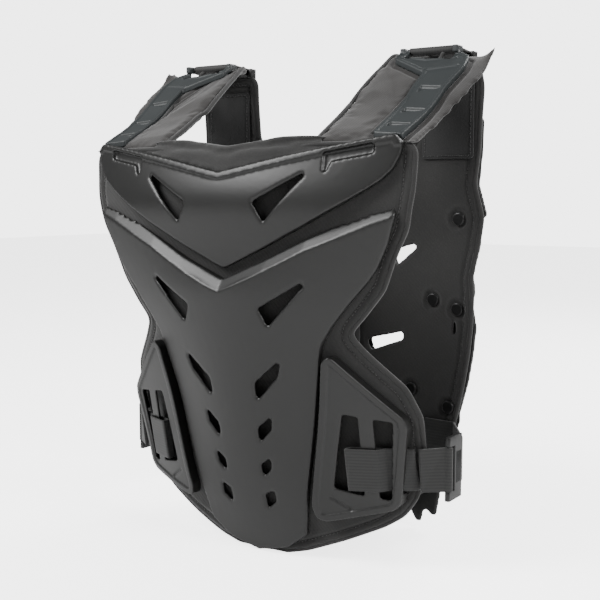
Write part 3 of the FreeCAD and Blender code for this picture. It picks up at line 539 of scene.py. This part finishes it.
def swell(piece, pressure, most_mm, held=None):
    """Fills a soft piece as its foam does: cloth under a light pressure, stopped at most_mm."""
    before, _ = places_of(piece)
    cloth = piece.modifiers.new("swell", "CLOTH")
    cloth.settings.use_pressure = True
    cloth.settings.uniform_pressure_force = pressure
    cloth.settings.effector_weights.gravity = 0.0
    cloth.settings.tension_stiffness = 12.0
    cloth.settings.compression_stiffness = 12.0
    cloth.settings.bending_stiffness = 0.8
    cloth.collision_settings.use_collision = False
    cloth.point_cache.frame_start = 1
    cloth.point_cache.frame_end = 20
    if held is not None:
        group = piece.vertex_groups.new(name="seams")
        group.add([int(i) for i in np.nonzero(held)[0]], 1.0, "REPLACE")
        cloth.settings.vertex_group_mass = "seams"
    for step in range(1, 21):
        scene.frame_set(step)
    bake_modifiers(piece)
    after, _ = places_of(piece)
    move = after - before
    length = np.linalg.norm(move, axis=1, keepdims=True)
    put(piece, before + move * np.minimum(1.0, most_mm * MM / np.maximum(length, 1e-9)))
    scene.frame_set(1)
    print(piece.name, "swelled by up to", round(float(length.max()) / MM, 1), "mm")
    return piece


def subdivided(piece):
    """One smooth subdivision, applied."""
    finer = piece.modifiers.new("finer", "SUBSURF")
    finer.levels = 1
    finer.render_levels = 1
    return bake_modifiers(piece)


# %% [markdown]
# ## The moulded shells
# A shell leaves its mould with every edge slightly rounded, and the rounding is what catches the
# light. The part's own shape is right, so each shell is a copy of it, remeshed finely and
# smoothed until its edges have a radius of about a millimetre.

# %% Shells
SHELL_GRAIN = {"upper_chest_plate": 1.3, "lower_chest_plate": 1.5, "upper_back_shell": 1.7,
               "middle_back_shell": 1.7, "lower_back_shell": 1.7, "tail_back_shell": 1.6,
               "side_plate_left": 1.0, "side_plate_right": 1.0}
CORNER_FROM_MM = 120.0  # from the middle out
CORNER_DEPTH_MM = 45.0  # from the top down
CORNER_PASSES = 8
for node_name, grain_mm in SHELL_GRAIN.items():
    shell = round_off(merged_copy("moulded_" + node_name, node_name), grain_mm, 3)
    if node_name == "lower_chest_plate":
        # The bevelled band runs thin in the two upper corners, so its steps are evened out there.
        places, _ = places_of(shell)
        corner = np.abs(places[:, 0]) > CORNER_FROM_MM * MM
        corner &= places[:, 2] > places[:, 2].max() - CORNER_DEPTH_MM * MM
        group = shell.vertex_groups.new(name="corners")
        group.add([int(i) for i in np.nonzero(corner)[0]], 1.0, "REPLACE")
        fade = shell.modifiers.new("fade", "SMOOTH")
        fade.factor = 0.5
        fade.iterations = CORNER_PASSES
        fade.vertex_group = "corners"
        bake_modifiers(shell)
    dress(shell, [node_name], shell_finish)

# %% [markdown]
# ## The shoulder inserts
# Each insert is a soft rubber strip on its shoulder pad. It is stepped so that it can bend, and
# its upper end is a frame that the webbing link goes through.

# %% Inserts
for side in SIDES:
    insert = round_off(merged_copy("rubber_insert_" + side, "shoulder_insert_" + side), 0.8, 3)
    places, normals = places_of(insert)
    low_corner, high_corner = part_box("shoulder_insert_" + side)
    inner_x, outer_x = sorted((low_corner[0], high_corner[0]), key=abs)
    front_y = low_corner[1] + 0.86 * (high_corner[1] - low_corner[1])

    def head_place(across, behind_mm):
        """A place over the head: across from its neck side to its arm side, and behind its front."""
        return (inner_x + across * (outer_x - inner_x), front_y + behind_mm * MM)

    ridges = [[head_place(0.08, 0.0), head_place(0.44, -5.0), head_place(0.80, 0.0)],
              [head_place(0.50, -21.0), head_place(0.90, -13.0)]]
    height = np.zeros(len(places))
    for ridge in ridges:
        line = evened(np.array([(x, y, 0.0) for x, y in ridge]), 0.5, closed=False)
        flat = places * np.array([1.0, 1.0, 0.0])
        height += 1.1 * bump_at(distance_to(flat, line), 0.0, 1.5) * (normals[:, 2] > 0.5)
    put(insert, places + normals * height[:, None] * MM)
    dress(insert, ["shoulder_insert_" + side], rubber_finish)

# %% [markdown]
# ## The two fabric panels
# The front and back liners are foam laminated between two fabrics and bound all round with a
# folded tape. The panel sinks along the seam of the tape and is full again inside it. The seam
# is drawn into the surface by its distance from the panel's outline.

# %% Liners
TAPE_MM = 2.9  # radius of the folded tape


def liner_panel(node_name, name, grain_mm, seed, facing, rivets):
    """A panel with its seam channel, the tape round its edge and the stitches of the tape."""
    loops = outline_loops(node_name)
    edge = evened(middle_line(evened(loops[0], 3.0), evened(loops[1], 1.0)), 3.0, soften=3)
    edge[:, 2] = np.maximum(edge[:, 2], (TAPE_MM + 0.2) * MM)
    panel = round_off(merged_copy(name, node_name), grain_mm, 3)
    places, normals = places_of(panel)
    distance = distance_to(places, evened(edge, 1.0))
    height = -1.3 * bump_at(distance, 9.0, 1.8) + 0.35 * wrinkles(places, 22.0, seed)
    height += 0.5 * bump_at(distance, 4.5, 2.5)
    for centre in rivets:
        around = np.linalg.norm((places - centre)[:, [0, 2]], axis=1) / MM
        inside = normals[:, 1] < -0.3
        height += (-1.1 * bump_at(around, 8.0, 1.8) + 0.7 * bump_at(around, 12.0, 2.2)) * inside
    put(panel, places + normals * height[:, None] * MM)
    dress(panel, [node_name], liner_finish)
    trim_on(tube(name + "_tape", edge, TAPE_MM), node_name, binding_finish)
    seam = seam_line(panel, edge, 7.0, facing)
    thread = stitches(name + "_stitches", evened(seam, 2.0, soften=2), facing)
    trim_on(thread, node_name, thread_finish)


rivet_centres = [c for name in ("upper_back_rivets", "middle_back_rivets", "lower_back_rivets")
                 for c in centres(name)]
PANEL_GRAIN_MM = 2.0
FORWARD = (0.0, -1.0, 0.0)
liner_panel("front_liner", "front_fabric_panel", PANEL_GRAIN_MM, 1, FORWARD, [])
liner_panel("back_liner", "back_fabric_panel", PANEL_GRAIN_MM, 2, FORWARD, rivet_centres)

# %% [markdown]
# ## The neck binding
# A soft roll of fabric over foam runs from shoulder to shoulder and keeps the top of the plate
# off the wearer's throat. It is swelled as cloth between its sewn ends and creased along its
# front. Then its lower edge is tucked behind the plate and its ends are drawn out under the pads.

# %% Neck
NECK_SEWN_MM = 74.0  # from the middle, beyond which the roll is sewn down and doesn't swell
CREASE_AT_MM = 9.0  # below the top line of the roll
CREASE_WIDE_MM = 2.6
CREASE_DEEP_MM = 2.6
TUCK_FROM_MM = 9.0  # below the top line of the roll
TUCK_OVER_MM = 9.0
TUCK_DOWN_MM = 3.5
TUCK_BACK_MM = 1.2
TAPER_FROM_MM = 50.0  # from the middle, where the roll begins to taper
TAPER_OVER_MM = 36.0
TAPER_TO = 0.5  # the height left at the very end
END_REACH_MM = 13.0  # how far each end is drawn out
END_BACK_MM = 3.0  # how far each end is set back
PLATE_RISE = 0.19  # rise of the plate's top edge over its distance from the middle
BASE_BELOW_MM = 22.0  # from the lowest place of the top line down to the plate
SIDEWAYS_SWEEP = 20.0 / 182.0 ** 2  # the front curves back by 20 mm at 182 mm from the middle

neck = round_off(merged_copy("neck_roll", "neck_binding"), 2.2, 8)
places, _ = places_of(neck)
swell(neck, 2.0, 2.0, held=np.abs(places[:, 0]) > NECK_SEWN_MM * MM)
places, normals = places_of(neck)
columns = np.round(places[:, 0] / (3 * MM)).astype(int)
top_line = []
for column in sorted(set(columns)):
    inside = np.nonzero(columns == column)[0]
    top_line.append(places[inside[np.argmax(places[inside, 2])]])
top_line = evened(np.array(top_line), 1.0, closed=False, soften=6)
below = distance_to(places, top_line)
ahead = normals[:, 1] < 0.3
fold = -CREASE_DEEP_MM * bump_at(below, CREASE_AT_MM, CREASE_WIDE_MM) * ahead
fold += 0.4 * wrinkles(places, 16.0, 3)
places = places + normals * fold[:, None] * MM
# The lower edge is tucked in behind the top of the plate.
tucked = np.clip((below - TUCK_FROM_MM) / TUCK_OVER_MM, 0.0, 1.0)
tucked *= places[:, 1] < np.median(places[:, 1])
places[:, 2] -= TUCK_DOWN_MM * MM * tucked
places[:, 1] += TUCK_BACK_MM * MM * tucked
# The ends get thinner and run on under the pads.
x_mm = places[:, 0] / MM
share = np.clip((np.abs(x_mm) - TAPER_FROM_MM) / TAPER_OVER_MM, 0.0, 1.0) ** 1.4
drawn_mm = x_mm + np.sign(x_mm) * END_REACH_MM * share
base = top_line[:, 2].min() - BASE_BELOW_MM * MM + PLATE_RISE * np.abs(places[:, 0])
places[:, 2] = base + (places[:, 2] - base) * (1.0 - (1.0 - TAPER_TO) * share)
places[:, 2] += PLATE_RISE * (np.abs(drawn_mm) - np.abs(x_mm)) * MM
places[:, 1] += (SIDEWAYS_SWEEP * (drawn_mm ** 2 - x_mm ** 2) + END_BACK_MM * share) * MM
places[:, 0] = drawn_mm * MM
put(neck, places)
dress(neck, ["neck_binding"], liner_finish)

# %% [markdown]
# ## The shoulder pads
# A pad is foam in fabric. The insert is sewn down on it, so the pad is tight under the insert,
# full on both sides of it, and thin at its bound edges.

# %% Shoulder pads
for side, sign in SIDES.items():
    node_name = "shoulder_pad_" + side
    pad = round_off(merged_copy("soft_" + node_name, node_name), 3.0, 5)
    places, _ = places_of(pad)
    seam = evened(outline_loops("shoulder_insert_" + side)[0], 1.0)
    swell(pad, 2.5, 3.0, held=distance_to(places, seam) < 7.0)
    subdivided(pad)
    loops = outline_loops(node_name)
    rim = evened(middle_line(evened(loops[0], 3.0), evened(loops[1], 1.0)), 3.0, soften=4)
    places, normals = places_of(pad)
    on_top = normals[:, 2] > 0.2
    near_rim = np.exp(-((distance_to(places, evened(rim, 1.0)) / 9.0) ** 2))
    height = -1.8 * bump_at(distance_to(places, seam), 3.0, 1.8) * on_top
    height += 0.4 * wrinkles(places, 18.0, 4) + 0.9 * near_rim * wrinkles(places, 7.0, 7)
    put(pad, places + normals * height[:, None] * MM)
    dress(pad, [node_name], panel_finish)
    trim_on(tube("bound_edge_of_" + node_name, rim, 2.3), node_name, binding_finish)

# %% [markdown]
# ## The hidden foam
# The inner pads are foam under spacer mesh, quilted across so that air can pass.

# %% Foam pads
for node_name, seed in (("front_foam_pad", 5), ("back_spine_pad", 6)):
    foam = round_off(merged_copy("mesh_" + node_name, node_name), 3.0, 4)
    swell(foam, 1.5, 1.5)
    places, normals = places_of(foam)
    height = 0.4 * wrinkles(places, 20.0, seed)
    put(foam, places + normals * height[:, None] * MM)
    dress(foam, [node_name], mesh_finish)

# %% [markdown]
# ## Straps, links and buckles
# The webbing is woven flat and folded round bars. The fixed loop and the free strap are one
# length of webbing on each side, so they become one piece.

# %% Side straps
joint_of = {joint["name"]: joint for joint in frame["joints"]}
STRAP_LEAN_MM = 7.0  # how much further forward the loop's upper edge is than its lower edge
for side, sign in SIDES.items():
    webbing = merged_copy("side_webbing_" + side, "strap_loop_" + side, "side_strap_" + side)
    hinge = Vector(joint_of["strap_swing_" + side]["pos_m"])
    buckle_pin = Vector(joint_of["buckle_tilt_" + side]["pos_m"])
    along = (buckle_pin - hinge).normalized()
    # The loop leans with the side plate and the free strap is upright, so the free strap is
    # twisted over its first 20 mm to carry on where the loop ends.
    places, _ = places_of(webbing)
    loop_low, loop_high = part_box("strap_loop_" + side)
    outward = (places - np.array(hinge)) @ np.array(along) / MM
    share = np.clip(outward / 20.0 + 0.1, 0.0, 1.0)
    up = (places[:, 2] - hinge.z) / (loop_high[2] - loop_low[2])
    free = outward > -2.5
    places[:, 1] += np.where(free, -STRAP_LEAN_MM * MM * up * (1 - share * share * (3 - 2 * share)), 0.0)
    put(webbing, places)
    round_off(webbing, 0.9, 4)
    webbing.data.materials.clear()
    webbing.data.materials.append(webbing_finish)
    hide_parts("side_strap_" + side, "strap_loop_" + side)
    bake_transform(webbing)
    print(webbing.name, len(webbing.data.polygons), "faces")

# %% Links, anchors, tabs, patches and buckles
for side in SIDES:
    for node_name, width_mm, finish in (("shoulder_link_" + side, 0.6, link_finish),
                                        ("shoulder_anchor_" + side, 0.8, hardware_finish),
                                        ("side_tab_" + side, 0.5, webbing_finish),
                                        ("hook_patch_" + side, 0.4, pile_finish),
                                        ("buckle_" + side, 0.9, hardware_finish)):
        piece = bevelled(merged_copy("finished_" + node_name, node_name), width_mm)
        dress(piece, [node_name], finish, smooth=True)

# %% [markdown]
# ## Grips and patch stitches
# Four small ribs across the outer face of a buckle give a gloved hand a grip. Each patch of loop
# pile is sewn down along its border.

# %% Grips on the buckles and stitches on the patches
RIBS = 4
RIB_FROM_MM = 4.0  # from the rear edge of the buckle to the first rib
RIB_STEP_MM = 2.6
RIB_SIZE_MM = (0.9, 1.2, 30.0)  # through the face, across the rib, along the rib
PATCH_INSET_MM = 3.0
for side, sign in SIDES.items():
    low_corner, high_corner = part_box("buckle_" + side)
    face_x = high_corner[0] if sign > 0 else low_corner[0]
    bm = bmesh.new()
    for step in range(RIBS):
        place = Vector((face_x, high_corner[1] - (RIB_FROM_MM + RIB_STEP_MM * step) * MM,
                        (low_corner[2] + high_corner[2]) / 2))
        size = Matrix.Diagonal((*(side_mm * MM for side_mm in RIB_SIZE_MM), 1.0))
        bmesh.ops.create_cube(bm, size=1.0, matrix=Matrix.Translation(place) @ size)
    bmesh.ops.bevel(bm, geom=bm.edges[:], offset=0.3 * MM, segments=1, affect="EDGES", profile=0.5,
                    material=-1)
    mesh = bpy.data.meshes.new("grip_ribs_" + side)
    bm.to_mesh(mesh)
    bm.free()
    trim_on(link(bpy.data.objects.new("grip_ribs_" + side, mesh)), "buckle_" + side, hardware_finish)

    low_corner, high_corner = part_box("hook_patch_" + side)
    left_x, right_x = low_corner[0] + PATCH_INSET_MM * MM, high_corner[0] - PATCH_INSET_MM * MM
    low_z, high_z = low_corner[2] + PATCH_INSET_MM * MM, high_corner[2] - PATCH_INSET_MM * MM
    corners = [(left_x, low_z), (right_x, low_z), (right_x, high_z), (left_x, high_z)]
    line = np.array([(x, low_corner[1], z) for x, z in corners])
    thread = stitches("patch_stitches_" + side, line, FORWARD)
    trim_on(thread, "hook_patch_" + side, thread_finish)

# %% [markdown]
# ## Rivets
# The rivets have wide domed heads that sink a little into the fabric.

# %% Rivets
for node_name in ("upper_back_rivets", "middle_back_rivets", "lower_back_rivets"):
    heads = round_off(merged_copy("domed_" + node_name, node_name), 0.6, 8)
    dress(heads, [node_name], hardware_finish)

# %% [markdown]
# ## The parts themselves
# Each part also gets the finish of its own material, so that none is bare where it is shown
# without the piece that stands for it.

# %% Finishes of the parts
for node_name, part in nodes.items():
    part.data.materials.clear()
    part.data.materials.append(FINISH[slot_of_node[node_name]])

# %% [markdown]
# ## The studio
# A pale floor that glows for the camera only, a bright surround, and three square lights: the
# key from the front left, the fill from the right and the rim from behind.

# %% Studio
floor_mesh = bpy.data.meshes.new("floor")
bm = bmesh.new()
bmesh.ops.create_grid(bm, x_segments=1, y_segments=1, size=6.0)
bm.to_mesh(floor_mesh)
bm.free()
floor = bpy.data.objects.new("floor", floor_mesh)
scene.collection.objects.link(floor)
floor_material, _ = blank("pale_paper")
floor_shader = add_node(floor_material, "ShaderNodeBsdfPrincipled",
                        links={"Base Color": paint("#f4f4f4"), "Roughness": 0.9})
finish_material(floor_material, floor_shader)
# To the eye the paper is nearly white, but it throws little light back on the underside.
seen = add_node(floor_material, "ShaderNodeLightPath").outputs["Is Camera Ray"]
glow = add_node(floor_material, "ShaderNodeMath", {"operation": "MULTIPLY"}, {0: seen, 1: 3.2})
floor_shader.inputs["Emission Color"].default_value = (1.0, 1.0, 1.0, 1.0)
floor_material.node_tree.links.new(glow.outputs["Value"], floor_shader.inputs["Emission Strength"])
floor.data.materials.append(floor_material)

world = bpy.data.worlds.new("surround")
scene.world = world
world.use_nodes = True
surround = world.node_tree.nodes["Background"]
surround.inputs["Color"].default_value = (1.0, 1.0, 1.0, 1.0)
path = world.node_tree.nodes.new("ShaderNodeLightPath")
level = world.node_tree.nodes.new("ShaderNodeMapRange")
level.inputs["To Min"].default_value = 0.3
level.inputs["To Max"].default_value = 4.2
world.node_tree.links.new(path.outputs["Is Camera Ray"], level.inputs["Value"])
world.node_tree.links.new(level.outputs["Result"], surround.inputs["Strength"])


def soft_panel(name, place, aim, size, power):
    """A large square light at a place, turned to face the aim."""
    data = bpy.data.lights.new(name, "AREA")
    data.shape = "SQUARE"
    data.size = size
    data.energy = power
    lamp = bpy.data.objects.new(name, data)
    scene.collection.objects.link(lamp)
    lamp.location = place
    lamp.rotation_euler = (Vector(aim) - Vector(place)).to_track_quat("-Z", "Y").to_euler()
    return lamp


middle = (0.0, 0.0, 0.25)
soft_panel("key", (-0.9, -1.3, 1.7), middle, 0.9, 60.0)
soft_panel("fill", (1.7, -0.3, 1.3), middle, 0.6, 30.0)
soft_panel("rim", (0.4, 1.6, 1.5), middle, 1.0, 40.0)
print("studio is lit")
